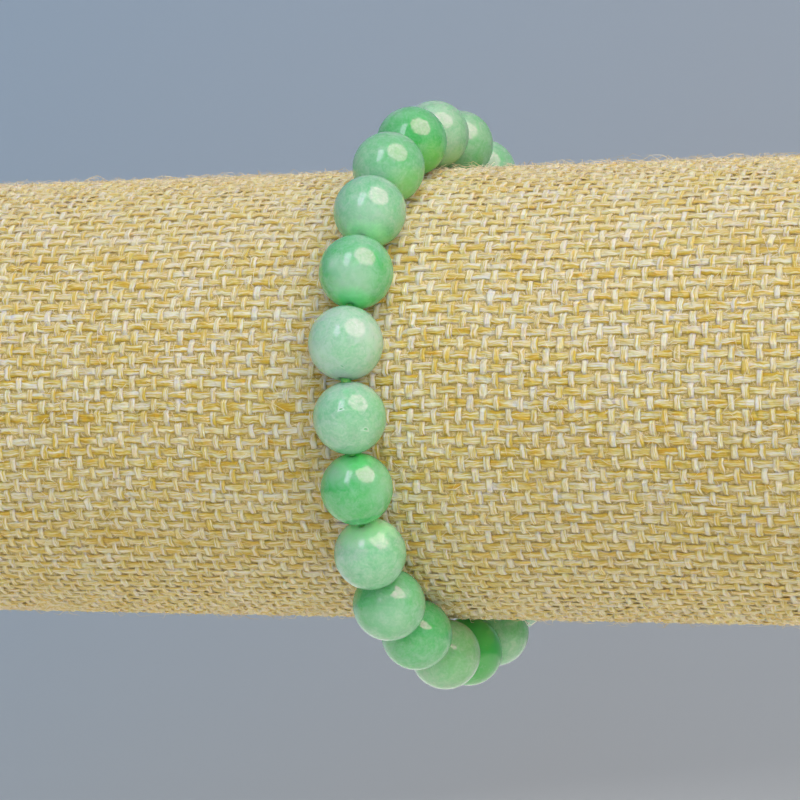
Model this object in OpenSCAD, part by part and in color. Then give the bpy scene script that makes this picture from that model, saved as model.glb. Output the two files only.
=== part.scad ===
// A stretch bracelet of round stone beads, hung on a display roll that is wrapped in burlap.
// X runs along the roll, Y points away from the viewer and Z is up. The origin lies on the roll's
// axis, at the middle of its length, where the plane of the bracelet crosses it.

/* [Beads] */
// Number of beads on the thread
bead_count = 24; // [20:1:28]
// Diameter of an average bead
bead_d = 8; // [6:0.1:10]
// Space between neighbouring beads, which grows if the roll is too thick for the loop
bead_gap = 0.05; // [0.02:0.01:0.3]
// Width of the chamfer round each mouth of the hole
bore_chamfer = 0.15; // [0.05:0.05:0.3]

/* [Elastic thread] */
// Diameter of the elastic thread
thread_d = 0.7; // [0.4:0.05:1.2]
// How much wider than the thread the hole through each bead is drilled
bore_clearance = 0.5; // [0.4:0.05:0.8]

/* [Display roll] */
// Length of the roll over its covered ends
roll_length = 132; // [100:1:200]
// Diameter of the solid core
core_d = 49.6; // [44:0.1:56]
// Thickness of the burlap
burlap_wall = 1.05; // [0.6:0.05:1.6]
// Space between the core and the burlap
burlap_gap = 0.05; // [0.02:0.01:0.2]
// Outer radius of the fold that takes the burlap round each end
fold_r = 3; // [2:0.1:6]
// Width of the burlap that lies flat on each end, from the fold to the seam
hem_w = 3.5; // [2:0.1:8]
// Space between the hem and the round panel sewn inside it
seam_gap = 0.25; // [0.1:0.05:0.5]

/* [Hang] */
// Space between the burlap and the beads that rest on it
rest_gap = 0.05; // [0.02:0.01:0.3]
// Angle by which the plane of the bracelet leans along the roll, in degrees
lean = 1.75; // [0:0.25:5]

/* [Hidden] */
$fn = 96;
thread_sides = 10;

// Place round the roll of the first bead, in degrees from the side that faces the viewer, with
// positive angles going down and under the roll
first_angle = -118;

// The beads in their order round the loop, from just behind the top, over the front and under the
// roll. size, lift and sway are shares of bead_d: lift is how far the bead stands off the burlap,
// and sway is how far it lies along the roll from the plane of the bracelet. pale goes from 0,
// deep green, to 1, pale mint.
SIZE = 0;
LIFT = 1;
SWAY = 2;
PALE = 3;
beads = [
    // size, lift, sway, pale
    [1.00, 0.00, -0.025, 0.4],
    [1.00, 0.01, -0.025, 0.6],
    [0.99, 0.00, -0.020, 0.8],
    [1.00, 0.005, 0.010, 0.1],
    [1.01, 0.015, 0.015, 0.3],
    [1.00, 0.045, 0.030, 0.6],
    [1.015, 0.04, 0.025, 0.4],
    [1.015, 0.065, -0.020, 0.9],
    [0.985, 0.11, 0.030, 0.8],
    [0.98, 0.075, -0.010, 0.1],
    [0.985, 0.105, -0.025, 0.8],
    [1.005, 0.08, -0.055, 0.5],
    [1.00, 0.00, -0.020, 0.1],
    [1.005, 0.05, 0.030, 0.7],
    [1.00, 0.05, -0.005, 0.2],
    [1.00, 0.07, 0.055, 0.4],
    [1.00, 0.06, 0.030, 0.7],
    [0.99, 0.05, -0.015, 0.3],
    [1.01, 0.05, 0.010, 0.5],
    [1.00, 0.04, -0.020, 0.1],
    [0.995, 0.04, 0.015, 0.8],
    [1.00, 0.03, 0.020, 0.4],
    [1.01, 0.02, -0.010, 0.2],
    [0.99, 0.01, 0.005, 0.6],
];

// The slack of the loop gathers behind the roll, after this bead and up to the first one
slack_after = 15;

deep_green = [0.16, 0.47, 0.24];
pale_mint = [0.72, 0.87, 0.76];
straw = [0.83, 0.77, 0.58];
buff = [0.70, 0.60, 0.42];
clear_elastic = [0.86, 0.90, 0.86];

bore_d = thread_d + bore_clearance;
roll_r = core_d / 2 + burlap_gap + burlap_wall;
hem_r = roll_r - fold_r - hem_w;
core_length = roll_length - 2 * (burlap_wall + burlap_gap);
core_edge_r = fold_r - burlap_wall - burlap_gap;

function row(i) = beads[i % len(beads)];
function bead_r(i) = bead_d / 2 * row(i)[SIZE];
function sway(i) = bead_d * row(i)[SWAY];

// How much of the slack a bead takes: none in front, all of it halfway round the back
function slack_share(i) =
    i <= slack_after ? 0 : pow(sin(180 * (i - slack_after) / (bead_count - slack_after)), 2);

// Distance from the roll's axis to the middle of a bead
function loop_r(i, slack) =
    roll_r + rest_gap + bead_r(i) + bead_d * row(i)[LIFT] + slack * slack_share(i);

// Angle round the roll from a bead to the next one, by the law of cosines
function step_angle(i, slack, gap) =
    let (
        next = (i + 1) % bead_count,
        a = loop_r(i, slack),
        b = loop_r(next, slack),
        reach = bead_r(i) + bead_r(next) + gap,
        across = pow(reach, 2) - pow(sway(i) - sway(next), 2)
    )
    acos((a * a + b * b - across) / (2 * a * b));

// Angle that the whole string of beads takes up round the roll
function full_turn(slack, gap, i = 0) =
    i == bead_count ? 0 : step_angle(i, slack, gap) + full_turn(slack, gap, i + 1);

// The slack, or else the gap, at which the beads close the loop, found by halving
function closing_slack(low, high, halvings = 40) =
    let (middle = (low + high) / 2)
    halvings == 0 ? middle
    : full_turn(middle, bead_gap) > 360 ? closing_slack(middle, high, halvings - 1)
    : closing_slack(low, middle, halvings - 1);
function closing_gap(low, high, halvings = 40) =
    let (middle = (low + high) / 2)
    halvings == 0 ? middle
    : full_turn(0, middle) < 360 ? closing_gap(middle, high, halvings - 1)
    : closing_gap(low, middle, halvings - 1);

reaches_round = full_turn(0, bead_gap) >= 360;
slack = reaches_round ? closing_slack(0, 8 * bead_d) : 0;
gap = reaches_round ? bead_gap : closing_gap(bead_gap, bead_d);

angles = [
    for (i = 0, a = first_angle; i < bead_count; a = a + step_angle(i, slack, gap), i = i + 1) a
];

function leaned(p) = [p.x * cos(lean) - p.z * sin(lean), p.y, p.x * sin(lean) + p.z * cos(lean)];
function unit(v) = v / norm(v);

centres = [
    for (i = [0:bead_count - 1])
        leaned([sway(i), -loop_r(i, slack) * cos(angles[i]), -loop_r(i, slack) * sin(angles[i])])
];

// Direction of the thread, and so of the hole, at a bead
function heading(i) =
    unit(centres[(i + 1) % bead_count] - centres[(i + bead_count - 1) % bead_count]);

// The thread runs straight through each hole and turns between the beads
turn_share = 0.85;
thread_points = [
    for (i = [0:bead_count - 1])
        for (side = [-1, 1])
            centres[i] + side * turn_share * bead_r(i) * heading(i)
];

function bead_name(i) = str("bead_", i < 9 ? "0" : "", i + 1);

module along(direction) {
    rotate([0, acos(direction.z), atan2(direction.y, direction.x)]) children();
}

// The hole through a bead of radius r, with a chamfer at both mouths
module bead_hole(r) {
    bore_r = bore_d / 2;
    mouth = sqrt(pow(r, 2) - pow(bore_r + bore_chamfer, 2));
    cylinder(r = bore_r, h = 3 * r, center = true);
    for (end = [0, 1])
        mirror([0, 0, end])
            translate([0, 0, mouth - bore_chamfer])
                cylinder(r1 = bore_r, r2 = bore_r + 2 * bore_chamfer, h = 2 * bore_chamfer);
}

module bead(i) {
    color(row(i)[PALE] * pale_mint + (1 - row(i)[PALE]) * deep_green)
        translate(centres[i])
            along(heading(i))
                difference() {
                    sphere(r = bead_r(i));
                    bead_hole(bead_r(i));
                }
}

// A closed tube of even thickness that follows a ring of points
module ring_tube(points, d, sides) {
    count = len(points);
    across = leaned([1, 0, 0]);
    rings = [
        for (k = [0:count - 1])
            let (
                before = unit(points[k] - points[(k + count - 1) % count]),
                after = unit(points[(k + 1) % count] - points[k]),
                outward = unit(cross(across, before + after)),
                sideways = unit(cross(before + after, outward))
            )
            for (s = [0:sides - 1])
                points[k] + d / 2 * (cos(360 * s / sides) * outward + sin(360 * s / sides) * sideways)
    ];
    faces = [
        for (k = [0:count - 1])
            for (s = [0:sides - 1])
                let (next_k = (k + 1) % count, next_s = (s + 1) % sides)
                [k * sides + s, k * sides + next_s, next_k * sides + next_s, next_k * sides + s]
    ];
    polyhedron(points = rings, faces = faces);
}

module thread() {
    color(clear_elastic) ring_tube(thread_points, thread_d, thread_sides);
}

// Half outline of a roll with rounded ends, to be turned about its axis
module roll_outline(r, length, edge_r) {
    translate([0, -length / 2]) square([r - edge_r, length]);
    translate([0, edge_r - length / 2]) square([r, length - 2 * edge_r]);
    for (end = [-1, 1])
        translate([r - edge_r, end * (length / 2 - edge_r)]) circle(r = edge_r);
}

module roll_core() {
    color(buff)
        rotate([0, 90, 0])
            rotate_extrude() roll_outline(core_d / 2, core_length, core_edge_r);
}

module burlap_cover() {
    color(straw)
        rotate([0, 90, 0])
            rotate_extrude()
                difference() {
                    roll_outline(roll_r, roll_length, fold_r);
                    roll_outline(roll_r - burlap_wall, roll_length - 2 * burlap_wall,
                        fold_r - burlap_wall);
                    translate([0, -roll_length / 2 - 1]) square([hem_r, roll_length + 2]);
                }
}

// The round panel that closes one end of the cover, flush with the hem
module end_panel(end) {
    color(straw)
        translate([end * (roll_length - burlap_wall) / 2, 0, 0])
            rotate([0, 90, 0])
                cylinder(r = hem_r - seam_gap, h = burlap_wall, center = true);
}

for (i = [0:bead_count - 1])
    bead(i);
thread();
roll_core();
burlap_cover();
end_panel(-1);  // end_panel_left
end_panel(1);  // end_panel_right
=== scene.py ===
# Looks of a stretch bracelet of green stone beads on a display roll wrapped in burlap.
# Lengths are in millimetres, unless a name ends in _m or _M. The axes are the part's own: X runs along
# the roll, Y away from the viewer and Z up, and the origin lies on the roll's axis.
import math
from collections import namedtuple

import bpy
import numpy as np
from mathutils import Matrix, Vector


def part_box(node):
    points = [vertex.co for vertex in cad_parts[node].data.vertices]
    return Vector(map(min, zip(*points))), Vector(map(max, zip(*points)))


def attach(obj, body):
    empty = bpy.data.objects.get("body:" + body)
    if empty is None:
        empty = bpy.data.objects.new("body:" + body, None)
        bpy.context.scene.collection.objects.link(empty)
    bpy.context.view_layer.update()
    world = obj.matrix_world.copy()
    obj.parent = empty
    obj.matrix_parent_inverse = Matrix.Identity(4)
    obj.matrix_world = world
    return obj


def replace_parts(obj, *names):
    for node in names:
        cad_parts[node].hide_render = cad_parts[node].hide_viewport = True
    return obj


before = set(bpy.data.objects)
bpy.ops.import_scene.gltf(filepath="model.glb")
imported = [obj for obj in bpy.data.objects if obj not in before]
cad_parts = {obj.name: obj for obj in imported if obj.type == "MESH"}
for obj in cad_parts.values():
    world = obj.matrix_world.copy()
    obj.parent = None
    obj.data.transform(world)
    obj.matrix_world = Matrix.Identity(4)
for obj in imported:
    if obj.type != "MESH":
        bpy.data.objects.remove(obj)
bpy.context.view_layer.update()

MM = 0.001
BODY = "root"
rng = np.random.default_rng(21)


def box_mm(node):
    """The lowest and highest corner of a CAD node."""
    low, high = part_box(node)
    return np.array(low) / MM, np.array(high) / MM


# Sizes taken from the frame
COVER_HIGH = box_mm("burlap_cover")[1]
ROLL_R = COVER_HIGH[2]
ROLL_HALF = COVER_HIGH[0]
CORE_R = box_mm("roll_core")[1][2]
PANEL_LOW, PANEL_HIGH = box_mm("end_panel_right")
PANEL_R = PANEL_HIGH[2]
PANEL_WALL = PANEL_HIGH[0] - PANEL_LOW[0]

# The seam between the cover's hem and an end panel, and the fold that takes the cover to its hem
SEAM_GAP = 0.25
FOLD_R = 3.0
HEM_R = PANEL_R + SEAM_GAP

# Camera, in the frame of the photograph
CAMERA_AT = np.array([133.2, -343.4, 0.0])
CAMERA_AIM = np.array([-6.3, 0.0, -0.8])
CAMERA_ROLL = math.radians(-0.509)
SENSOR_W = 36.0
LENS = 142.875
PHOTO_W = 800


def unit(v):
    return v / np.linalg.norm(v, axis=-1, keepdims=True)


def camera_axes():
    """The camera's right, up and backward directions."""
    back = unit(CAMERA_AT - CAMERA_AIM)
    level = unit(np.cross([0.0, 0.0, 1.0], back))
    upright = np.cross(back, level)
    right = math.cos(CAMERA_ROLL) * level + math.sin(CAMERA_ROLL) * upright
    return right, np.cross(back, right), back


RIGHT, UP, BACK = camera_axes()


def add_camera():
    data = bpy.data.cameras.new("camera")
    data.lens = LENS
    data.sensor_width = SENSOR_W
    data.clip_start = 0.01
    data.clip_end = 20.0
    camera = bpy.data.objects.new("camera", data)
    turn = Matrix([RIGHT, UP, BACK]).transposed().to_4x4()
    camera.matrix_world = Matrix.Translation(Vector(CAMERA_AT * MM)) @ turn
    bpy.context.collection.objects.link(camera)
    bpy.context.scene.camera = camera


def ray_through(px, py):
    """Direction from the camera through a pixel of the photograph."""
    focal = LENS / SENSOR_W * PHOTO_W
    return unit(RIGHT * (px - PHOTO_W / 2) - UP * (py - PHOTO_W / 2) - BACK * focal)


def place_on_roll(px, py):
    """Where the ray through a pixel meets the front of the burlap: its x and its angle."""
    ray = ray_through(px, py)
    a = ray[1] ** 2 + ray[2] ** 2
    b = 2 * (CAMERA_AT[1] * ray[1] + CAMERA_AT[2] * ray[2])
    c = CAMERA_AT[1] ** 2 + CAMERA_AT[2] ** 2 - ROLL_R ** 2
    meets = CAMERA_AT + ray * (-b - math.sqrt(b * b - 4 * a * c)) / (2 * a)
    return meets[0], math.atan2(-meets[2], -meets[1])


# Meshes


def add_piece(name, verts, faces, material, slot, smooth=True, attributes=None):
    """A mesh piece on the roll's body. verts are in millimetres."""
    mesh = bpy.data.meshes.new(name)
    mesh.vertices.add(len(verts))
    mesh.vertices.foreach_set("co", (verts * MM).astype(np.float32).ravel())
    mesh.loops.add(faces.size)
    mesh.loops.foreach_set("vertex_index", faces.astype(np.int32).ravel())
    mesh.polygons.add(len(faces))
    corners = faces.shape[1]
    mesh.polygons.foreach_set("loop_start", np.arange(len(faces), dtype=np.int32) * corners)
    mesh.polygons.foreach_set("use_smooth", np.full(len(faces), smooth))
    for key, values in (attributes or {}).items():
        layer = mesh.attributes.new(key, "FLOAT", "POINT")
        layer.data.foreach_set("value", values.astype(np.float32).ravel())
    mesh.update(calc_edges=True)
    mesh.materials.append(material)
    piece = bpy.data.objects.new(name, mesh)
    bpy.context.collection.objects.link(piece)
    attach(piece, BODY)
    return piece


def loop_faces(rows, columns):
    """Quads over a grid of points, row by row, that closes on itself both ways."""
    row = np.arange(rows)[:, None] * columns
    after = (np.arange(rows)[:, None] + 1) % rows * columns
    here = np.arange(columns)[None, :]
    there = (here + 1) % columns
    faces = [row + here, row + there, after + there, after + here]
    return np.stack(faces, axis=-1).reshape(-1, 4)


def tube_faces(rings, sides):
    """Quads of a tube that is open at both ends."""
    return loop_faces(rings, sides)[: (rings - 1) * sides]


def cap_faces(rings, sides):
    """The two faces that close the ends of a tube."""
    ring = np.arange(sides)
    return np.array([ring[::-1], ring + (rings - 1) * sides])


# Materials


class Nodes:
    """Short ways to add shader nodes to a material or a world."""

    def __init__(self, data, shader):
        data.use_nodes = True
        self.data = data
        self.tree = data.node_tree
        self.shader = self.tree.nodes[shader]

    def set(self, **values):
        for key, value in values.items():
            self.shader.inputs[key.replace("_", " ")].default_value = value

    def link(self, source, target):
        self.tree.links.new(source, target)

    def put(self, socket, value):
        if isinstance(value, bpy.types.NodeSocket):
            self.link(value, socket)
        else:
            socket.default_value = value

    def math(self, operation, a, b=0.0, c=0.0):
        node = self.tree.nodes.new("ShaderNodeMath")
        node.operation = operation
        for socket, value in zip(node.inputs, (a, b, c)):
            self.put(socket, value)
        return node.outputs[0]

    def clamp(self, value, low, high):
        return self.math("MINIMUM", self.math("MAXIMUM", value, low), high)

    def swing(self, value, size):
        """A value from 0 to 1, moved and scaled to run from -size / 2 to size / 2."""
        return self.math("MULTIPLY_ADD", value, size, -size / 2)

    def vector(self, operation, a, b=None, scale=None):
        node = self.tree.nodes.new("ShaderNodeVectorMath")
        node.operation = operation
        self.put(node.inputs[0], a)
        if b is not None:
            self.put(node.inputs[1], b)
        if scale is not None:
            self.put(node.inputs["Scale"], scale)
        return node.outputs["Value" if operation in ("DOT_PRODUCT", "DISTANCE") else "Vector"]

    def combine(self, x, y, z):
        node = self.tree.nodes.new("ShaderNodeCombineXYZ")
        for socket, value in zip(node.inputs, (x, y, z)):
            self.put(socket, value)
        return node.outputs[0]

    def separate(self, vector):
        node = self.tree.nodes.new("ShaderNodeSeparateXYZ")
        self.link(vector, node.inputs[0])
        return node.outputs

    def map_range(self, value, low, high, interpolation="LINEAR"):
        """0 for low and 1 for high."""
        node = self.tree.nodes.new("ShaderNodeMapRange")
        node.interpolation_type = interpolation
        node.inputs["From Min"].default_value = low
        node.inputs["From Max"].default_value = high
        self.link(value, node.inputs["Value"])
        return node.outputs[0]

    def place(self):
        """The point on the object, in metres."""
        return self.tree.nodes.new("ShaderNodeTexCoord").outputs["Object"]

    def place_mm(self):
        return self.vector("SCALE", self.place(), scale=1 / MM)

    def attribute(self, name):
        node = self.tree.nodes.new("ShaderNodeAttribute")
        node.attribute_name = name
        return node.outputs["Fac"]

    def noise(self, at, scale, detail=2.0, roughness=0.5, distortion=0.0):
        node = self.tree.nodes.new("ShaderNodeTexNoise")
        self.link(at, node.inputs["Vector"])
        node.inputs["Scale"].default_value = scale
        node.inputs["Detail"].default_value = detail
        node.inputs["Roughness"].default_value = roughness
        node.inputs["Distortion"].default_value = distortion
        return node.outputs["Fac"]

    def ramp(self, value, stops):
        """A colour for each value, through (place, colour) stops."""
        node = self.tree.nodes.new("ShaderNodeValToRGB")
        elements = node.color_ramp.elements
        while len(elements) < len(stops):
            elements.new(0.5)
        for element, (place, colour) in zip(elements, stops):
            element.position = place
            element.color = (*colour, 1.0)
        self.link(value, node.inputs[0])
        return node.outputs["Color"]

    def mix(self, share, a, b, blend="MIX"):
        node = self.tree.nodes.new("ShaderNodeMix")
        node.data_type = "RGBA"
        node.blend_type = blend
        self.put(node.inputs["Factor"], share)
        for socket, value in zip((node.inputs[6], node.inputs[7]), (a, b)):
            self.put(socket, value if isinstance(value, bpy.types.NodeSocket) else (*value, 1.0))
        return node.outputs[2]

    def colour(self, socket):
        self.link(socket, self.shader.inputs["Base Color"])

    def bump(self, height, distance, strength=1.0):
        node = self.tree.nodes.new("ShaderNodeBump")
        node.inputs["Strength"].default_value = strength
        node.inputs["Distance"].default_value = distance
        self.link(height, node.inputs["Height"])
        self.link(node.outputs[0], self.shader.inputs["Normal"])


def new_material(name):
    return Nodes(bpy.data.materials.new(name), "Principled BSDF")


# Burlap

# Hoop yarns run round the roll and axial yarns along it. across tells which of the two cloth
# coordinates runs across the yarn, rise how far it rises where a hoop yarn is on top, and climb
# at which shares of the way between two crossings it starts and ends its climb.
Yarn = namedtuple("Yarn", "across half_w thick rise climb")
HOOP = Yarn(across=0, half_w=0.41, thick=0.18, rise=0.165, climb=(0.36, 0.64))
AXIAL = Yarn(across=1, half_w=0.48, thick=0.17, rise=-0.045, climb=(0.33, 0.67))
HOOP_PITCH = 1.44
AXIAL_COUNT = 124
# Height of a yarn where it starts and ends its climb, as a share of its rise
SHOULDER = 0.85
# Corners of a yarn's cross section, as shares of its half width and of its thickness
SECTION = np.array([(-1.0, -0.5), (-0.62, 0.5), (0.62, 0.5), (1.0, -0.5)])

# How unevenly the yarns are spun: their slow twist in radians, its pace from ring to ring and its
# jitter, the shares of half_w that they have on the whole, the jitter of that and how far they stray
TWIST = 0.22
TWIST_PACE = (0.15, 0.5)
TWIST_JITTER = 0.10
WIDTH_SHARE = (0.84, 1.12)
WIDTH_JITTER = 0.09
STRAY = 0.035

# Depth of the middle of the cloth, and of the ground under its yarns, below the outside of the cover
CLOTH_DEPTH = 0.22
GROUND_DEPTH = 0.37
# How far the ground's inner face lies above the core, and above the inner face of an end panel
GROUND_OFF_CORE = 0.03
GROUND_IN_PANEL = 0.02
# How far the cloth hangs off the core along the bottom of the roll, how fast it sinks, and the sine
# of the angle at which it leaves the core
SAG = 0.25
SAG_RATE = 13.0
SAG_STARTS = 11.9 / SAG_RATE

CLOTH_R = ROLL_R - CLOTH_DEPTH
CLOTH_FOLD_R = FOLD_R - CLOTH_DEPTH
CLOTH_FLAT_HALF = ROLL_HALF - FOLD_R
CLOTH_ARC = math.pi / 2 * CLOTH_FOLD_R
CLOTH_HEM = ROLL_R - FOLD_R - HEM_R
CLOTH_HALF = CLOTH_FLAT_HALF + CLOTH_ARC + CLOTH_HEM


def profile(s):
    """The cloth's outline in a plane through the roll's axis: x, radius and the outward direction.
    s is the distance along a lengthwise yarn from the middle of the roll."""
    a = np.abs(s)
    side = np.where(s < 0, -1.0, 1.0)
    turn = np.clip((a - CLOTH_FLAT_HALF) / CLOTH_FOLD_R, 0, math.pi / 2)
    down = np.maximum(a - CLOTH_FLAT_HALF - CLOTH_ARC, 0)
    x = np.minimum(a, CLOTH_FLAT_HALF) + CLOTH_FOLD_R * np.sin(turn)
    r = CLOTH_R - CLOTH_FOLD_R + CLOTH_FOLD_R * np.cos(turn) - down
    return side * x, r, side * np.sin(turn), np.cos(turn)


def on_roll(s, angle, height):
    """A point of the cloth. The angle goes round the roll from the side that faces the viewer, and
    grows downwards. height is measured out of the cloth from its middle."""
    x, r, out_x, out_r = profile(s)
    sag = SAG * np.clip(SAG_RATE * (np.sin(angle) - SAG_STARTS), 0, 1)
    reach = r + out_r * (height + sag)
    return np.stack([x + out_x * height, -reach * np.cos(angle), -reach * np.sin(angle)], axis=-1)


def on_panel(end):
    """The same for a flat end panel, whose first two coordinates are y and z."""
    def place(y, z, height):
        return np.stack([end * (ROLL_HALF - CLOTH_DEPTH + height) + 0 * y, y, z], axis=-1)
    return place


def waves(count, size, shortest, longest, turns):
    """A smooth random shift over the cloth, as a function of s and angle."""
    rows = [
        (rng.uniform(0.4, 1.0), 2 * math.pi / rng.uniform(shortest, longest),
         int(rng.integers(-turns, turns + 1)), rng.uniform(0, 2 * math.pi))
        for _ in range(count)
    ]
    total = sum(row[0] for row in rows)

    def shift(s, angle):
        return sum(
            size * share / total * np.sin(k * s + n * angle + phase)
            for share, k, n, phase in rows
        )
    return shift


def over(j, k):
    """1 where the hoop yarn j passes over the axial yarn k, and -1 where it passes under."""
    return np.where((j + k) % 2 == 0, 1.0, -1.0)


def climbing(kind, a, b, on_top):
    """Rings of a yarn through its crossings: at each crossing, and where it climbs between two.
    a and b are the cloth coordinates of the crossings, and on_top is what over gives for them."""
    rise = kind.rise * on_top
    out = np.zeros((3 * len(a) - 2, 3))
    for column, values in enumerate((a, b)):
        out[0::3, column] = values
        for step, share in enumerate(kind.climb):
            out[1 + step::3, column] = values[:-1] + share * (values[1:] - values[:-1])
    out[0::3, 2] = rise
    out[1::3, 2] = SHOULDER * rise[:-1]
    out[2::3, 2] = SHOULDER * rise[1:]
    return out


def yarn_rings(kind, place, path, shrink):
    """The four corners of each ring of a yarn, and the middle of each ring."""
    eps = 0.02
    a, b, h = path.T
    centre = place(a, b, h)
    aside = place(a + eps, b, h) if kind.across == 0 else place(a, b + eps, h)
    side = unit(aside - centre)
    up = unit(place(a, b, h + eps) - centre)
    turns = np.arange(len(path)) * rng.uniform(*TWIST_PACE) + rng.uniform(0, 2 * math.pi)
    twist = TWIST * np.sin(turns) + rng.normal(0, TWIST_JITTER, len(path))
    side, up = (
        side * np.cos(twist)[:, None] + up * np.sin(twist)[:, None],
        up * np.cos(twist)[:, None] - side * np.sin(twist)[:, None],
    )
    width = kind.half_w * rng.uniform(*WIDTH_SHARE) * (1 + rng.normal(0, WIDTH_JITTER, len(path)))
    if shrink is not None:
        width *= shrink(a)
    middle = centre + side * rng.normal(0, STRAY, len(path))[:, None]
    corners = (
        middle[:, None, :]
        + side[:, None, :] * (width[:, None] * SECTION[None, :, 0])[..., None]
        + up[:, None, :] * (kind.thick * SECTION[None, :, 1])[..., None]
    )
    return corners.reshape(-1, 3), centre


def yarns(kind, place, paths, shrink=None):
    """Verts, faces and attributes of many yarns. Each path is rows of two cloth coordinates and a
    height."""
    sides = len(SECTION)
    verts, faces, along, tone, start = [], [], [], [], 0
    for path in paths:
        count = len(path)
        corners, centre = yarn_rings(kind, place, path, shrink)
        verts.append(corners)
        faces.append(np.concatenate([tube_faces(count, sides), cap_faces(count, sides)]) + start)
        steps = np.linalg.norm(np.diff(centre, axis=0), axis=1)
        along.append(np.repeat(np.concatenate([[0.0], np.cumsum(steps)]), sides))
        tone.append(np.full(sides * count, rng.random()))
        start += sides * count
    verts = np.concatenate(verts)
    faces = np.concatenate(faces)
    if flips(verts, faces[: len(faces) // len(paths)]):
        faces = faces[:, ::-1]
    return verts, faces, {
        "along": np.concatenate(along),
        "across": np.tile(SECTION[:, 0], len(verts) // sides),
        "tone": np.concatenate(tone),
    }


def flips(verts, faces):
    """Whether these faces of a closed tube point inwards."""
    corner = verts[faces]
    middle = corner.mean(axis=(0, 1))
    corner = corner - middle
    cross = np.cross(corner[:, 1] - corner[:, 0], corner[:, 2] - corner[:, 0])
    cross += np.cross(corner[:, 2] - corner[:, 0], corner[:, 3] - corner[:, 0])
    return (cross * corner.mean(axis=1)).sum() < 0


def crossings():
    """Where each hoop yarn crosses each axial yarn: its s and its angle."""
    count = 2 * round(CLOTH_HALF / HOOP_PITCH)
    pitch = 2 * CLOTH_HALF / count
    s = (np.arange(count) + 0.5) * pitch - CLOTH_HALF
    angle = np.arange(AXIAL_COUNT) * 2 * math.pi / AXIAL_COUNT
    s_grid, angle_grid = np.meshgrid(s, angle, indexing="ij")
    calm = np.clip((CLOTH_HALF - np.abs(s_grid)) / 6, 0, 1)
    along_shift = waves(7, size=0.30, shortest=18, longest=60, turns=4)(s_grid, angle_grid)
    round_shift = waves(7, size=0.30, shortest=18, longest=60, turns=4)(s_grid, angle_grid)
    own_s = np.stack([
        waves(3, size=0.10, shortest=200, longest=300, turns=24)(0, angle) for _ in s
    ])
    own_angle = np.stack([
        waves(3, size=0.10, shortest=5, longest=30, turns=0)(s, 0) for _ in angle
    ], axis=1)
    return (
        s_grid + calm * (along_shift + own_s),
        angle_grid + calm * (round_shift + own_angle) / CLOTH_R,
    )




def hoop_paths(s, angle):
    """A hoop yarn's two ends meet at the back, under an axial yarn."""
    paths = []
    for j in range(len(s)):
        first = AXIAL_COUNT // 2 + (1 if over(j, AXIAL_COUNT // 2) > 0 else 0)
        k = first + np.arange(AXIAL_COUNT + 1)
        turned = angle[j, k % AXIAL_COUNT] + 2 * math.pi * (k // AXIAL_COUNT)
        paths.append(climbing(HOOP, s[j, k % AXIAL_COUNT], turned, over(j, k)))
    return paths


def axial_paths(s, angle):
    """An axial yarn runs over both folds and ends at the seams."""
    paths = []
    j = np.arange(len(s))
    edge = CLOTH_HALF - 0.05
    for k in range(AXIAL_COUNT):
        path = climbing(AXIAL, s[:, k], angle[:, k], over(j, k))
        first = [-edge, path[0, 1], 0]
        last = [edge, path[-1, 1], 0]
        paths.append(np.concatenate([[first], path, [last]]))
    return paths


def gathered(s):
    """How much narrower an axial yarn gets where the cloth is drawn in on the ends."""
    return profile(s)[1] / CLOTH_R


def panel_paths(kind):
    """Straight yarns of a round panel, cut off at its edge. Hoop yarns are the upright ones."""
    reach = PANEL_R - 0.3
    pitch_y, pitch_z = HOOP_PITCH, 2 * math.pi * CLOTH_R / AXIAL_COUNT
    count_y, count_z = int(reach / pitch_y), int(reach / pitch_z)
    j = np.arange(-count_y, count_y + 1)[:, None]
    k = np.arange(-count_z, count_z + 1)[None, :]
    y = j * pitch_y + 0 * k
    z = k * pitch_z + 0 * j
    y = y + panel_shift(y) + panel_shift(z)
    z = z + panel_shift(y) + panel_shift(z)
    rows = [y, z, over(j, k), np.hypot(y, z) < reach]
    if kind is AXIAL:
        rows = [grid.T for grid in rows]
    return [
        drawn_out(climbing(kind, y[inside], z[inside], on_top[inside]), reach)
        for y, z, on_top, inside in zip(*rows) if inside.sum() > 1
    ]


def panel_shift(grid):
    return waves(5, size=0.25, shortest=15, longest=40, turns=0)(grid, 0)


def drawn_out(path, reach):
    """The path with a ring more at both ends, at the edge of a round panel."""
    ends = []
    for near, inner in ((path[0], path[1]), (path[-1], path[-2])):
        way = unit((near - inner)[:2])
        dot = near[:2] @ way
        rest = math.sqrt(max(dot ** 2 - near[:2] @ near[:2] + reach ** 2, 0)) - dot
        ends.append([*(near[:2] + way * max(rest, 0.02)), 0.0])
    return np.concatenate([[ends[0]], path, [ends[1]]])


def ground_shell():
    """The closed, thin shell just under the yarns, from one hem over the roll to the other."""
    rounds = 160
    outer_h = CLOTH_DEPTH - GROUND_DEPTH
    inner_h = CLOTH_DEPTH - (ROLL_R - CORE_R) + GROUND_OFF_CORE
    stops = np.concatenate([
        np.linspace(-CLOTH_HALF, -CLOTH_FLAT_HALF - CLOTH_ARC, 4)[:-1],
        np.linspace(-CLOTH_FLAT_HALF - CLOTH_ARC, -CLOTH_FLAT_HALF, 9)[:-1],
        np.linspace(-CLOTH_FLAT_HALF, 0, 12),
    ])
    stops = np.concatenate([stops, -stops[-2::-1]])
    s = np.concatenate([stops, stops[::-1]])
    h = np.concatenate([np.full(len(stops), outer_h), np.full(len(stops), inner_h)])
    angle = np.arange(rounds) * 2 * math.pi / rounds
    verts = np.concatenate([on_roll(s, np.full(len(s), a), h) for a in angle])
    return verts, loop_faces(rounds, len(s))


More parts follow.
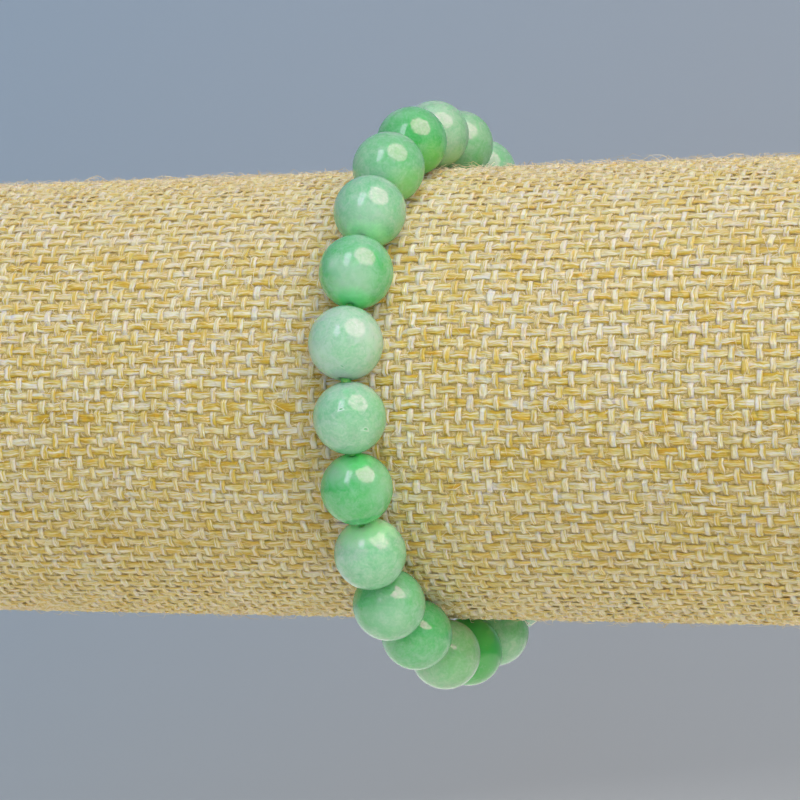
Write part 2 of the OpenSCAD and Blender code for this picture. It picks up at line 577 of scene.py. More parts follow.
def panel_ground(end):
    """A thin closed disc under the yarns of an end panel, of rings that run from a pinhole in its
    middle out over its face, and back under it."""
    rounds = 96
    outer = ROLL_HALF - GROUND_DEPTH
    inner = ROLL_HALF - PANEL_WALL + GROUND_IN_PANEL
    radii = [0.4, 6.0, 12.0, PANEL_R]
    rings = [(outer, r) for r in radii] + [(inner, r) for r in reversed(radii)]
    angle = np.arange(rounds) * 2 * math.pi / rounds
    verts = np.concatenate([
        np.stack([np.full(rounds, end * x), -r * np.cos(angle), -r * np.sin(angle)], axis=-1)
        for x, r in rings
    ])
    faces = loop_faces(len(rings), rounds)
    return verts, faces if end > 0 else faces[:, ::-1]


HAIR_SIDES = 3
HAIR_RINGS = 3


def hairs(roots, ways, lengths, radii, base, lift):
    """Thin bent fibres. Each starts at a root on the cloth, given as s and angle, and runs along
    the cloth in its own direction, from the height of its base and with its middle lifted."""
    verts = []
    share = np.linspace(0, 1, HAIR_RINGS)
    around = np.arange(HAIR_SIDES) * 2 * math.pi / HAIR_SIDES
    for i, (root, way, length) in enumerate(zip(roots, ways, lengths)):
        turned = way + rng.normal(0, 0.5) * (share - 0.5)
        s = root[0] + length * share * np.cos(turned)
        angle = root[1] + length * share * np.sin(turned) / CLOTH_R
        height = base[i] + lift[i] * np.sin(share * math.pi * rng.uniform(0.55, 1.0))
        centre = on_roll(np.clip(s, -CLOTH_HALF, CLOTH_HALF), angle, height)
        ahead = unit(np.gradient(centre, axis=0))
        side = unit(np.cross(ahead, unit(centre * [0, 1, 1])))
        out = np.cross(side, ahead)
        thin = radii[i] * (1 - 0.65 * share ** 2)
        ring = (
            centre[:, None, :]
            + side[:, None, :] * (thin[:, None] * np.cos(around))[..., None]
            + out[:, None, :] * (thin[:, None] * np.sin(around))[..., None]
        )
        verts.append(ring.reshape(-1, 3))
    sheath = tube_faces(HAIR_RINGS, HAIR_SIDES)
    corners = np.stack([sheath[:, [0, 1, 2]], sheath[:, [0, 2, 3]]], axis=1).reshape(-1, 3)
    one = np.concatenate([corners, cap_faces(HAIR_RINGS, HAIR_SIDES)])
    starts = np.arange(len(roots)) * HAIR_SIDES * HAIR_RINGS
    faces = (one[None] + starts[:, None, None]).reshape(-1, 3)
    tone = np.repeat(rng.random(len(roots)), HAIR_SIDES * HAIR_RINGS)
    return np.concatenate(verts), faces, {"tone": tone}


WHITE = (0.95, 0.84, 0.74)
CREAM = (0.89, 0.745, 0.57)
PALE_STRAW = (0.81, 0.63, 0.35)
STRAW = (0.74, 0.53, 0.17)
GOLD = (0.66, 0.44, 0.07)
BROWN = (0.60, 0.35, 0.03)
HOOP_SHADES = [(0.12, GOLD), (0.28, STRAW), (0.40, PALE_STRAW), (0.55, CREAM), (0.78, WHITE)]
AXIAL_SHADES = [
    (0.16, BROWN), (0.27, GOLD), (0.40, STRAW), (0.53, PALE_STRAW), (0.68, CREAM), (0.92, WHITE),
]
GROUND_SHADES = [
    (0.32, (0.46, 0.36, 0.13)), (0.44, (0.62, 0.49, 0.2)), (0.54, (0.72, 0.59, 0.3)),
    (0.66, (0.86, 0.76, 0.56)),
]
HAIR_SHADES = [(0.0, (0.76, 0.63, 0.36)), (0.3, (0.83, 0.745, 0.55)), (0.8, (0.9, 0.85, 0.73))]
# Mean colour of the burlap, which shows through its fuzz where it is seen at a slant, and the share
# of it along the top and the bottom of the roll
FUZZ = (0.83, 0.65, 0.39)
FUZZ_SHARE = 0.35
# How much the strands and the fibres of a yarn change its shade, and how much yarns differ
STRAND_SWING = 1.2
FIBRE_SWING = 1.9
YARN_SWING = 0.16


def softened(n, colour):
    """The colour, softened by fuzz towards the top and the bottom of the roll."""
    height = n.math("MULTIPLY", n.separate(n.place())["Z"], 1 / (ROLL_R * MM))
    slant = n.math("POWER", n.math("ABSOLUTE", height), 2.0)
    return n.mix(n.math("MULTIPLY", slant, FUZZ_SHARE), colour, FUZZ)


def streaks(n, along_scale, across_scale, detail, roughness):
    """Noise that is drawn out along a yarn, and is another for each yarn."""
    offset = n.math("MULTIPLY", n.attribute("tone"), 97.0)
    along = n.math("MULTIPLY", n.attribute("along"), along_scale)
    across = n.math("MULTIPLY_ADD", n.attribute("across"), across_scale, offset)
    return n.noise(n.combine(along, across, offset), 1.0, detail=detail, roughness=roughness)


def yarn_material(name, shades, edge):
    """Fibres that run along the yarn, each of its own tint. edge is how much painted shade darkens its
    edges, where the yarns meet.
    """
    n = new_material(name)
    strands = streaks(n, 0.28, 1.0, detail=1.0, roughness=0.5)
    fibres = streaks(n, 0.5, 3.2, detail=2.0, roughness=0.6)
    tone = n.attribute("tone")
    shade = 0.5
    for value, size in ((strands, STRAND_SWING), (fibres, FIBRE_SWING), (tone, YARN_SWING)):
        shade = n.math("ADD", shade, n.swing(value, size))
    # Painted shade: darker and more golden towards the yarn's edges, where shade falls between the
    # yarns
    rim = n.math("POWER", n.math("ABSOLUTE", n.attribute("across")), 4.0)
    shade = n.math("MULTIPLY_ADD", rim, -edge, shade)
    n.colour(softened(n, n.ramp(shade, shades)))
    n.bump(fibres, 0.00012, 0.7)
    n.set(
        Roughness=0.72, Specular_IOR_Level=0.2, Sheen_Weight=0.4, Sheen_Roughness=0.5,
        Sheen_Tint=(1.0, 0.86, 0.58, 1.0),
        Subsurface_Weight=0.8, Subsurface_Radius=(1.0, 0.7, 0.25), Subsurface_Scale=0.0009,
    )
    return n.data


def ground_material():
    n = new_material("burlap_ground")
    at = n.place_mm()
    blotches = n.noise(at, 4.0, detail=3.0, roughness=0.65)
    n.colour(softened(n, n.ramp(blotches, GROUND_SHADES)))
    n.bump(n.noise(at, 6.0, detail=3.0), 0.0002, 0.8)
    n.set(Roughness=0.9, Specular_IOR_Level=0.2)
    return n.data


def hair_material():
    n = new_material("burlap_hair")
    n.colour(n.ramp(n.attribute("tone"), HAIR_SHADES))
    n.set(Roughness=0.6, Specular_IOR_Level=0.3)
    return n.data


HAIR_COUNT = 7800
# The share of the fuzz that lies about the top of the roll, and the middle and spread of its angle
TOP_SHARE = 0.34
TOP_ANGLE = -1.45
TOP_SPREAD = 0.24
# How far the fuzz keeps from the seams
HAIR_MARGIN = 3.0
# Height of the roots of the fuzz
HAIR_BASE = 0.14
# Long loose fibres that stand out in the photograph: the pixels of their two ends
LONG_FIBRES = [((90, 347), (113, 380)), ((352, 205), (366, 230))]
LONG_FIBRE_R = 0.06
LONG_FIBRE_LIFT = 0.35
# The share of the gaps between the yarns that a fibre crosses
GAP_SHARE = 0.5


def loose_fibres():
    """Short fuzz all over the roll, and the few long fibres that stand out."""
    top = rng.random(HAIR_COUNT) < TOP_SHARE
    reach = CLOTH_HALF - HAIR_MARGIN
    s = rng.uniform(-reach, reach, HAIR_COUNT)
    top_angle = rng.normal(TOP_ANGLE, TOP_SPREAD, HAIR_COUNT)
    any_angle = rng.uniform(0, 2 * math.pi, HAIR_COUNT)
    roots = np.stack([s, np.where(top, top_angle, any_angle)], axis=1)
    ways = rng.uniform(0, 2 * math.pi, HAIR_COUNT)
    lengths = np.minimum(rng.gamma(2.5, 0.45, HAIR_COUNT) + 0.6, 5.0)
    radii = rng.uniform(0.02, 0.042, HAIR_COUNT)
    lift = rng.gamma(1.5, 0.18, HAIR_COUNT) + 0.08
    for pixels in LONG_FIBRES:
        (s0, angle0), (s1, angle1) = (place_on_roll(*pixel) for pixel in pixels)
        run, turned = s1 - s0, (angle1 - angle0) * CLOTH_R
        roots = np.append(roots, [[s0, angle0]], axis=0)
        ways = np.append(ways, math.atan2(turned, run))
        lengths = np.append(lengths, math.hypot(turned, run))
        radii = np.append(radii, LONG_FIBRE_R)
        lift = np.append(lift, LONG_FIBRE_LIFT)
    base = np.full(len(roots), HAIR_BASE)
    return hairs(roots, ways, lengths, radii, base, np.minimum(lift, 0.3 + 0.25 * lengths))


def gap_fibres(s, angle):
    """Short fibres that cross the gaps between the yarns, low in the cloth."""
    s_gap = (s[:-1, :-1] + s[1:, :-1]) / 2
    angle_gap = (angle[:-1, :-1] + angle[:-1, 1:]) / 2
    roots = np.stack([s_gap.ravel(), angle_gap.ravel()], axis=1)
    roots = roots[rng.random(len(roots)) < GAP_SHARE]
    count = len(roots)
    ways = rng.uniform(0, 2 * math.pi, count)
    lengths = rng.uniform(0.5, 1.3, count)
    roots[:, 0] -= np.cos(ways) * lengths / 2
    roots[:, 1] -= np.sin(ways) * lengths / 2 / CLOTH_R
    base = rng.uniform(-0.14, 0.06, count)
    radii = rng.uniform(0.02, 0.045, count)
    lift = rng.uniform(0.05, 0.22, count)
    return hairs(roots, ways, lengths, radii, base, lift)


def halves(paths):
    middle = len(paths) // 2
    return paths[:middle], paths[middle:]


def add_yarns(name, kind, place, paths, look, shrink=None):
    verts, faces, extra = yarns(kind, place, paths, shrink)
    return add_piece(name, verts, faces, look, "burlap", False, extra)


def dress_cover(hoop_look, axial_look, ground_look):
    """Interlaced yarns and fuzz, with a ground that shows in the gaps."""
    s, angle = crossings()
    for name, paths in zip(("left", "right"), halves(hoop_paths(s, angle))):
        add_yarns("hoop_yarns_" + name, HOOP, on_roll, paths, hoop_look)
    for name, paths in zip(("lower", "upper"), halves(axial_paths(s, angle))):
        add_yarns("axial_yarns_" + name, AXIAL, on_roll, paths, axial_look, gathered)
    hair_look = hair_material()
    for name, made in (("burlap_fuzz", loose_fibres()), ("gap_fibres", gap_fibres(s, angle))):
        verts, faces, extra = made
        add_piece(name, verts, faces, hair_look, "burlap", True, extra)
    ground = add_piece("burlap_ground", *ground_shell(), ground_look, "burlap")
    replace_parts(ground, "burlap_cover")


def dress_end(name, end, hoop_look, axial_look, ground_look):
    """Interlaced yarns with a ground that shows in their gaps, for a flat end panel, where the hoop
    yarns stand upright.
    """
    disc = add_piece("end_ground_" + name, *panel_ground(end), ground_look, "burlap")
    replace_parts(disc, "end_panel_" + name)
    for title, kind, look in (("upright", HOOP, hoop_look), ("level", AXIAL, axial_look)):
        paths = panel_paths(kind)
        add_yarns(f"end_yarns_{title}_{name}", kind, on_panel(end), paths, look)


def dress_roll():
    looks = (
        yarn_material("hoop_yarn", HOOP_SHADES, 0.20),
        yarn_material("axial_yarn", AXIAL_SHADES, 0.26),
        ground_material(),
    )
    dress_cover(*looks)
    dress_end("left", -1, *looks)
    dress_end("right", 1, *looks)


# Beads

# The radius and the chamfer of a mouth of the hole, and of the two wider mouths that face each
# other between the two beads where the elastic shows
MOUTH = (0.36, 0.02)
WIDE_MOUTH = (0.56, 0.16)
PARTED_BEADS = ("bead_08", "bead_09")
BEAD_SEGMENTS = 48
BEAD_RINGS = 36
ELASTIC_R = 0.35
BUNCHED_ELASTIC_R = 0.54
ELASTIC_SIDES = 16
# The elastic runs straight through each hole, and turns this share of a bead's radius off its centre
ELASTIC_TURN = 0.85
# The elastic is clear: its green is painted light, the stones' green seen through it
ELASTIC_SEEN_THROUGH_GREENS = [(0.3, (0.10, 0.48, 0.10)), (0.7, (0.16, 0.56, 0.17))]

# Small chips in the polish: the pixel of the photograph each one lies at, its half length and
# half width, its depth and its turn in the picture
CHIPS = {
    "bead_08": [((342.0, 366.4), 0.26, 0.11, 0.05, -0.6)],
    "bead_09": [((365.8, 429.2), 0.30, 0.15, 0.06, -0.2), ((340.6, 409.2), 0.26, 0.10, 0.04, 0.3)],
}
# How far from a chip's middle the faces of the bead are finer, and how fine they are there
CHIP_SPAN = 0.5
CHIP_STEP = 0.035
# How much a chip curves, and how far out its whitened rim lies and how wide it is, as shares of
# the chip's size
CHIP_CURVE = 0.25
RIM_AT = 1.15
RIM_W = 0.35

PALE_MINT = (0.44, 0.60, 0.575)
MID_GREEN = (0.195, 0.50, 0.32)
DEEP_GREEN = (0.035, 0.42, 0.105)
OLIVE = (0.30, 0.48, 0.16)
# Painted light: these two bright greens lighten the shade where two beads meet
PAINTED_GLOW_GREEN = (0.14, 0.88, 0.28)
PAINTED_PALE_GLOW = (0.38, 0.92, 0.50)
LEAF_GREEN = (0.45, 0.80, 0.26)

# Painted light, for light passing through the stone: a tint everywhere, towards the right of the
# picture and towards its top
PAINTED_LIGHT_EVEN = (1.01, 1.03, 1.0)
PAINTED_LIGHT_RIGHT = (-0.04, -0.06, -0.13)
PAINTED_LIGHT_UP = (0.12, 0.0, 0.04)

# How strongly the clouds of a bead of cloud 1, the wisps, the grain and the chips change its tone; a
# chip darkens its hollow with painted shade and whitens its rim
CLOUD_SWING = 2.4
WISP_SWING = 0.76
GRAIN_SWING = 0.50
CHIP_SHADE_AND_RIM = 0.7
# From bead to bead, the stone is cut out of the same clouds so far on, in radii of the bead
NEXT_CUT = np.array([3.7, -2.3, 1.9])

# Patches of colour on the bead: the pixel of the photograph in the middle of each, its size as a share
# of the bead's radius, its strength and its colour
# The bright green patches are painted light over the shade where two beads meet. The pale mint ones
# are paler clouds of the stone, and the yellow-green ones tint the lower right of three beads.
PATCHES = {
    "bead_03": [((452, 162), 0.50, 0.3, LEAF_GREEN)],
    "bead_04": [((433, 162), 0.60, 0.25, LEAF_GREEN)],
    "bead_05": [((404, 192), 0.60, 0.3, LEAF_GREEN)],
    "bead_06": [((366, 216), 0.60, 0.45, PALE_MINT), ((365, 241), 0.55, 1.0, PAINTED_PALE_GLOW)],
    "bead_07": [
        ((353, 277), 0.60, 0.60, PALE_MINT), ((334, 262), 0.25, 0.4, PALE_MINT),
        ((352, 305), 0.50, 0.65, PAINTED_GLOW_GREEN),
    ],
    "bead_10": [
        ((380, 478), 0.55, 0.25, PALE_MINT), ((340, 470), 0.40, 0.4, PALE_MINT),
        ((353, 456), 0.50, 0.7, PAINTED_GLOW_GREEN),
    ],
    "bead_11": [((365, 520), 0.74, 1.0, PAINTED_PALE_GLOW)],
    "bead_12": [((392, 612), 0.60, 0.3, PALE_MINT)],
}
# How far a patch reaches, as a share of its size, and how far the clouds move its edge
PATCH_REACH = 1.4
PATCH_UNEVEN = 0.35

# How each bead is tinted: tone is 0 for the palest mint and 1 for the deepest green, right and up tell
# how much darker green it gets towards that side of the picture, partly the stone's own tone and
# partly painted shade, cloud is how strong its clouds are, and warm moves it towards olive.
TONE, TONE_AND_SHADE_RIGHT, TONE_AND_SHADE_UP, CLOUD, WARM = range(5)
BEAD_LOOKS = [
    (0.36, 0.05, -0.03, 0.35, 0.2),
    (0.36, 0.06, 0.00, 0.40, 0.3),
    (0.18, 0.12, 0.08, 0.25, 0.2),
    (0.72, 0.12, -0.14, 0.30, 0.1),
    (0.42, 0.12, 0.02, 0.30, 0.1),
    (0.40, -0.04, -0.14, 0.40, 0.0),
    (0.54, 0.00, -0.10, 0.50, 0.0),
    (0.12, 0.04, 0.05, 0.25, 0.0),
    (0.31, 0.00, 0.02, 0.25, 0.0),
    (0.70, -0.04, -0.06, 0.30, 0.0),
    (0.29, 0.06, -0.02, 0.20, 0.0),
    (0.54, -0.04, 0.22, 0.30, 0.0),
    (0.68, -0.02, 0.04, 0.40, 0.0),
    (0.40, 0.06, 0.10, 0.25, 0.4),
    (1.08, 0.10, 0.14, 0.25, 0.2),
    (0.42, 0.00, 0.16, 0.25, 0.2),
    (0.20, 0.00, 0.10, 0.25, 0.1),
    (0.65, 0.10, 0.00, 0.35, 0.0),
    (0.45, -0.10, 0.10, 0.30, 0.1),
    (0.80, 0.00, 0.10, 0.30, 0.0),
    (0.15, 0.05, -0.05, 0.25, 0.0),
    (0.55, 0.15, 0.00, 0.45, 0.1),
    (0.70, -0.10, 0.10, 0.30, 0.0),
    (0.35, 0.10, 0.05, 0.30, 0.0),
]
BEAD_COUNT = len(BEAD_LOOKS)


def jade(name, centre, radius, look, patches, number):
    """Polished translucent stone with clouds, in the bead's own coordinates."""
    n = new_material(name)
    here = n.vector("SUBTRACT", n.place(), tuple(centre * MM))
    here = n.vector("SCALE", here, scale=1 / (radius * MM))
    cut = n.vector("ADD", here, tuple(number * NEXT_CUT))
    clouds = n.noise(cut, 1.1, detail=4.0, roughness=0.55, distortion=0.5)
    wisps = n.noise(cut, 3.4, detail=4.0, roughness=0.6, distortion=1.2)
    grain = n.noise(cut, 15.0, detail=3.0, roughness=0.65)
    # Partly the stone's own tone and partly painted shade: darker green towards one side of the
    # picture
    deeper_and_shaded = RIGHT * look[TONE_AND_SHADE_RIGHT] + UP * look[TONE_AND_SHADE_UP]
    tone = n.math("ADD", n.vector("DOT_PRODUCT", here, tuple(deeper_and_shaded)), look[TONE])
    swings = ((clouds, CLOUD_SWING * look[CLOUD]), (wisps, WISP_SWING), (grain, GRAIN_SWING))
    for value, size in swings:
        tone = n.math("ADD", tone, n.swing(value, size))
    # The chip attribute: painted shade in a chip's hollow and, below 0, its whitened rim
    tone = n.math("MULTIPLY_ADD", n.attribute("chip"), CHIP_SHADE_AND_RIM, tone)
    stone = n.ramp(tone, [(0.0, PALE_MINT), (0.5, MID_GREEN), (1.0, DEEP_GREEN)])
    stone = n.mix(0.5 * look[WARM], stone, OLIVE)
    uneven = n.vector("SCALE", n.combine(wisps, clouds, grain), scale=PATCH_UNEVEN)
    # Some of these patches are painted light, which lightens the shade where beads meet
    for pixel, size, strength, tint in patches:
        middle = place_on_ball(pixel, centre, radius) + PATCH_UNEVEN / 2
        away = n.vector("DISTANCE", n.vector("ADD", here, uneven), tuple(middle))
        # At its full strength up to a third of its reach
        near = n.map_range(away, PATCH_REACH * size, PATCH_REACH * size / 3)
        stone = n.mix(n.math("MULTIPLY", near, strength), stone, tint)
    # The stone's colour, tinted by painted light that changes from side to side of the bead
    n.colour(n.vector("MULTIPLY", stone, painted_light_tint(n, here)))
    swells = n.noise(cut, 2.2, detail=1.0)
    ripples = n.noise(cut, 9.0, detail=3.0)
    n.bump(n.math("MULTIPLY_ADD", ripples, 0.30, swells), 0.00005, 0.6)
    n.set(
        Roughness=0.09, IOR=1.5, Specular_IOR_Level=0.38 + 0.3 * look[TONE],
        Subsurface_Weight=1.0, Subsurface_Radius=(0.45, 1.0, 0.55), Subsurface_Scale=0.006,
    )
    return n.data


def painted_light_tint(n, here):
    """Painted light: a tint by the place in the bead, for light passing through the stone."""
    light = PAINTED_LIGHT_EVEN
    for tint, way in ((PAINTED_LIGHT_RIGHT, RIGHT), (PAINTED_LIGHT_UP, UP)):
        share = n.vector("DOT_PRODUCT", here, tuple(way))
        light = n.vector("ADD", light, n.vector("SCALE", tint, scale=share))
    return light


def place_on_ball(pixel, centre, radius):
    """Where the ray through a pixel meets a ball, as a direction from the ball's centre."""
    ray = ray_through(*pixel)
    off = CAMERA_AT - centre
    b = ray @ off
    meets = off + ray * (-b - math.sqrt(b * b - off @ off + radius ** 2))
    return unit(meets)


def chipped(verts, centre, radius, chips):
    """The ball's points with each chip pressed in, and how far each point is darkened by painted shade
    in a chip's hollow or, below 0, whitened by its rim."""
    shade = np.zeros(len(verts))
    for pixel, half_l, half_w, depth, turn in chips:
        out = place_on_ball(pixel, centre, radius)
        level = unit(np.cross(UP, out))
        upright = np.cross(out, level)
        long_way = level * math.cos(turn) + upright * math.sin(turn)
        wide_way = upright * math.cos(turn) - level * math.sin(turn)
        off = verts - centre - out * radius
        near = (verts - centre) @ out > 0
        u = off @ long_way / half_l
        v = (off @ wide_way + CHIP_CURVE * half_l * u ** 2) / half_w
        reach = np.hypot(u, v)
        dent = np.where(near, np.clip(1 - reach ** 2, 0, 1) ** 0.5, 0)
        rim = np.where(near, np.exp(-((reach - RIM_AT) / RIM_W) ** 2), 0)
        verts = verts - unit(verts - centre) * (depth * dent)[:, None]
        # Painted shade in the chip's hollow, and the chipped stone's own whitened rim
        shade += 0.5 * dent - rim
    return verts, shade


def finer_near(values, targets, span, step):
    """The values, with more of them close to each target."""
    close = [np.arange(target - span, target + span, step) for target in targets]
    return np.unique(np.concatenate([values, *close]))


def bead_mesh(centre, radius, heading, chips, mouths):
    """A drilled ball, turned about the line of its hole, with finer faces round its chips. The
    mouths are those of the hole ahead and behind."""
    ahead, behind = (math.asin(sum(mouth) / radius) for mouth in mouths)
    aside = unit(np.cross(heading, [1.0, 0.0, 0.0]))
    beside = np.cross(heading, aside)
    outs = [place_on_ball(chip[0], centre, radius) for chip in chips]
    span, step = CHIP_SPAN / radius, CHIP_STEP / radius
    polar = np.linspace(ahead, math.pi - behind, BEAD_RINGS)
    polar = finer_near(polar, [math.acos(out @ heading) for out in outs], span, step)
    around = np.arange(BEAD_SEGMENTS) * 2 * math.pi / BEAD_SEGMENTS
    turns = [math.atan2(out @ beside, out @ aside) % (2 * math.pi) for out in outs]
    around = finer_near(around, turns, span, step)
    bore = [
        mouths[1][1] - radius * math.cos(behind), -0.5 * radius, 0.5 * radius,
        radius * math.cos(ahead) - mouths[0][1],
    ]
    r = np.concatenate([radius * np.sin(polar), np.repeat([mouths[1][0], mouths[0][0]], 2)])
    z = np.concatenate([radius * np.cos(polar), bore])
    ring = np.cos(around)[:, None] * aside + np.sin(around)[:, None] * beside
    verts = centre + r[:, None, None] * ring[None] + z[:, None, None] * heading
    verts, shade = chipped(verts.reshape(-1, 3), centre, radius, chips)
    faces = loop_faces(len(r), len(around))[:, [0, 3, 2, 1]]
    return verts, faces, {"chip": shade}


def stone_slot(tone):
    return "stone_pale" if tone < 0.3 else "stone_mid" if tone < 0.6 else "stone_deep"


def dress_beads():
    names = [f"bead_{i + 1:02d}" for i in range(BEAD_COUNT)]
    boxes = [box_mm(name) for name in names]
    centres = np.array([(low + high) / 2 for low, high in boxes])
    radii = [float((high - low).max() / 2) for low, high in boxes]
    headings = [unit(centres[(i + 1) % BEAD_COUNT] - centres[i - 1]) for i in range(BEAD_COUNT)]
    for i, name in enumerate(names):
        look = BEAD_LOOKS[i]
        mouths = [WIDE_MOUTH if name == parted else MOUTH for parted in PARTED_BEADS]
        chips = CHIPS.get(name, [])
        patches = PATCHES.get(name, [])
        verts, faces, extra = bead_mesh(centres[i], radii[i], headings[i], chips, mouths)
        material = jade("jade_" + name, centres[i], radii[i], look, patches, i + 1)
        ball = add_piece("stone_" + name, verts, faces, material, stone_slot(look[TONE]), True, extra)
        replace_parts(ball, name)
    verts, faces = elastic_ring(centres, radii, headings, names.index(PARTED_BEADS[0]))
    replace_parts(add_piece("elastic", verts, faces, elastic_material(), "elastic"), "thread")


def elastic_ring(centres, radii, headings, parted):
    """The elastic, which fills the holes: straight through each bead, bent between beads, and
    bunched up after the parted bead."""
    points = np.concatenate([
        [centre - turn * heading, centre + turn * heading]
        for centre, heading, turn in zip(centres, headings, ELASTIC_TURN * np.array(radii))
    ])
    ahead = unit(np.roll(points, -1, axis=0) - np.roll(points, 1, axis=0))
    out = unit(np.cross(ahead, unit(points - centres.mean(axis=0))))
    level = np.cross(out, ahead)
    around = np.arange(ELASTIC_SIDES) * 2 * math.pi / ELASTIC_SIDES
    ring = np.cos(around)[:, None] * out[:, None, :] + np.sin(around)[:, None] * level[:, None, :]
    thick = np.full(len(points), ELASTIC_R)
    thick[[2 * parted + 1, 2 * parted + 2]] = BUNCHED_ELASTIC_R
    verts = points[:, None, :] + thick[:, None, None] * ring
    return verts.reshape(-1, 3), loop_faces(len(points), ELASTIC_SIDES)


def elastic_material():
    n = new_material("elastic")
    n.colour(n.ramp(n.noise(n.place_mm(), 2.0, detail=2.0), ELASTIC_SEEN_THROUGH_GREENS))
    n.set(Roughness=0.7, Subsurface_Weight=1.0, Subsurface_Scale=0.002)
    return n.data


# What shows of the CAD model itself

CORE_SHADES = [(0.3, (0.38, 0.27, 0.14)), (0.7, (0.5, 0.38, 0.22))]


def dress_core():
    n = new_material("core_board")
    at = n.place_mm()
    n.colour(n.ramp(n.noise(at, 0.8, detail=4.0), CORE_SHADES))
    n.bump(n.noise(at, 3.0, detail=3.0), 0.0002, 0.5)
    n.set(Roughness=0.9)
    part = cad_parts["roll_core"]
    part.data.materials.clear()
    part.data.materials.append(n.data)


# Studio

FLOOR_Z_M = -0.12
# How far towards the viewer the bright part of the table reaches
FLOOR_EDGE_M = 0.19
# Colour of the floor near the object, and where on Y it fades into the far backdrop
NEAR_FLOOR = (0.87, 0.81, 0.69)
FADE_M = (0.02, 0.16)
# How the red, green and blue of the far backdrop change to the right and upwards, which paints in the
# uneven light over it, and their middles
BACKDROP_COLOUR_AND_FALLOFF = [(0.051, 0.606, 0.689), (-0.211, 0.905, 0.698), (-0.491, 1.401, 0.75)]
# The slopes, seen from a point so far in front of the roll, between which the colour changes
VIEWER_M = 0.343
SLOPES_RIGHT = (-0.6, -0.2)
SLOPES_UP = (-0.2, 0.2)


def backdrop_material():
    """Pale near the object, and blue-grey behind it, as the photograph shows it."""
    n = new_material("backdrop")
    x, y, z = n.separate(n.place())
    depth = n.math("ADD", y, VIEWER_M)
    aside = n.clamp(n.math("DIVIDE", x, depth), *SLOPES_RIGHT)
    slope = n.clamp(n.math("DIVIDE", z, depth), *SLOPES_UP)
    # Painted light: the far backdrop's colour follows how the light falls over it
    far = n.combine(*[
        n.math("MULTIPLY_ADD", aside, right, n.math("MULTIPLY_ADD", slope, up, middle))
        for right, up, middle in BACKDROP_COLOUR_AND_FALLOFF
    ])
    n.colour(n.mix(n.map_range(y, *FADE_M, "SMOOTHSTEP"), NEAR_FLOOR, far))
    n.set(Roughness=1.0, Specular_IOR_Level=0.0)
    return n.data


def add_backdrop():
    """A floor that curves up into a wall behind the object."""
    half_w, front, bend_at, bend_r, top = 3.0, -3.0, 0.3, 1.6, 2.6
    turns = np.linspace(0, math.pi / 2, 49)
    y = [front, -1.0, 0.0, *(bend_at + bend_r * np.sin(turns)), bend_at + bend_r]
    z = [FLOOR_Z_M] * 3 + list(FLOOR_Z_M + bend_r * (1 - np.cos(turns))) + [top]
    verts = np.array([(x, a, b) for x in (-half_w, half_w) for a, b in zip(y, z)])
    count = len(y)
    i = np.arange(count - 1)
    faces = np.stack([i, i + count, i + count + 1, i + 1], axis=-1)
    mesh = bpy.data.meshes.new("backdrop")
    mesh.from_pydata(verts.tolist(), [], faces.tolist())
    mesh.polygons.foreach_set("use_smooth", np.full(len(faces), True))
    mesh.materials.append(backdrop_material())
    sheet = bpy.data.objects.new("backdrop", mesh)
    bpy.context.collection.objects.link(sheet)


KEY_WAY = (0.44, 0.73, 0.52)
WINDOW_WAY = (-0.42, 0.61, 0.67)
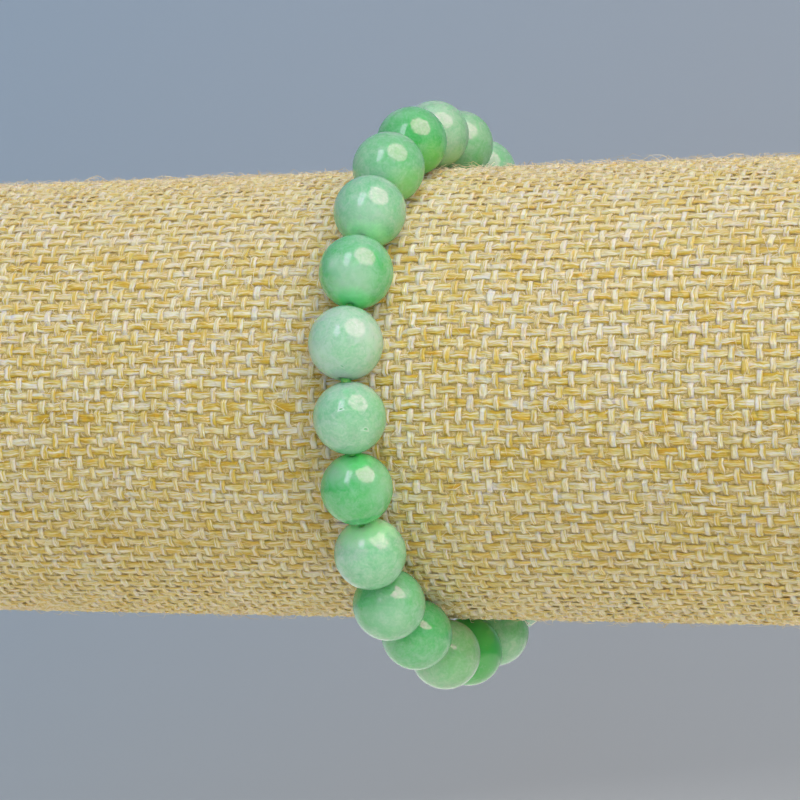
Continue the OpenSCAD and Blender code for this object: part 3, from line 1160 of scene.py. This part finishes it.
# The direction of each light along the camera's right, up and backward axes, its distance in
# metres, shape, size in metres, colour and watts, and whether it makes only highlights
LIGHTS = {
    "key": (KEY_WAY, 1.0, "DISK", (1.0, 1.0), (1.0, 0.823, 0.66), 4.95, False),
    "key_gloss": (KEY_WAY, 0.9, "DISK", (1.0, 1.0), (1.0, 0.46, 0.66), 16.5, True),
    "top": ((0.1, 0.9, 0.6), 1.2, "RECTANGLE", (0.7, 0.7), (0.80, 0.88, 0.95), 5.6, False),
    "front": ((0.1, 0.3, 1.0), 1.2, "RECTANGLE", (0.7, 0.7), (0.992, 1.0, 0.769), 5.2, False),
    "back": ((-0.2, 0.4, -1.0), 0.45, "RECTANGLE", (0.3, 0.3), (1.0, 0.97, 0.92), 0.5, False),
    "window_gloss": (WINDOW_WAY, 0.9, "RECTANGLE", (0.28, 0.62), (0.85, 0.65, 1.0), 3.0, True),
}
LIT_POINT_M = (0, -0.03, 0)
SKY_SHADES = [(0.2, (1.0, 0.86, 0.64)), (0.62, (0.82, 0.87, 0.92))]


def area_light(name, shape, size_m, colour, watts, gloss):
    """An area light that makes either only highlights or only diffuse light."""
    data = bpy.data.lights.new(name, "AREA")
    data.shape = shape
    data.size, data.size_y = size_m
    data.color = colour
    data.energy = watts
    light = bpy.data.objects.new(name, data)
    light.visible_camera = False
    light.visible_diffuse = not gloss
    light.visible_glossy = gloss
    bpy.context.collection.objects.link(light)
    return light


def add_lights():
    for name, (way, distance_m, *look) in LIGHTS.items():
        light = area_light(name, *look)
        way = Vector(unit(RIGHT * way[0] + UP * way[1] + BACK * way[2]))
        light.location = Vector(LIT_POINT_M) + way * distance_m
        light.rotation_mode = "QUATERNION"
        light.rotation_quaternion = way.to_track_quat("Z", "Y")


def add_floor_gloss():
    """The bright table under the object, which shows in the lower half of the beads."""
    light = area_light("floor_gloss", "RECTANGLE", (2.0, 0.8), (0.95, 0.88, 0.9), 3.4, True)
    ahead = Vector(unit(BACK * [1, 1, 0]))
    light.location = ahead * (FLOOR_EDGE_M - light.data.size_y / 2)
    light.location.z = FLOOR_Z_M + 0.002
    light.rotation_euler = (math.pi, 0, math.atan2(ahead.y, ahead.x) + math.pi / 2)


def add_sky():
    """Faint light from all round, warm from below and cool from above."""
    n = Nodes(bpy.data.worlds.new("studio"), "Background")
    way = n.tree.nodes.new("ShaderNodeTexCoord").outputs["Generated"]
    height = n.map_range(n.separate(way)["Z"], -1.0, 1.0)
    n.link(n.ramp(height, SKY_SHADES), n.shader.inputs["Color"])
    n.set(Strength=0.24)
    bpy.context.scene.world = n.data


add_camera()
dress_roll()
dress_beads()
dress_core()
add_backdrop()
add_sky()
add_lights()
add_floor_gloss()
bpy.context.scene.view_settings.view_transform = "Standard"
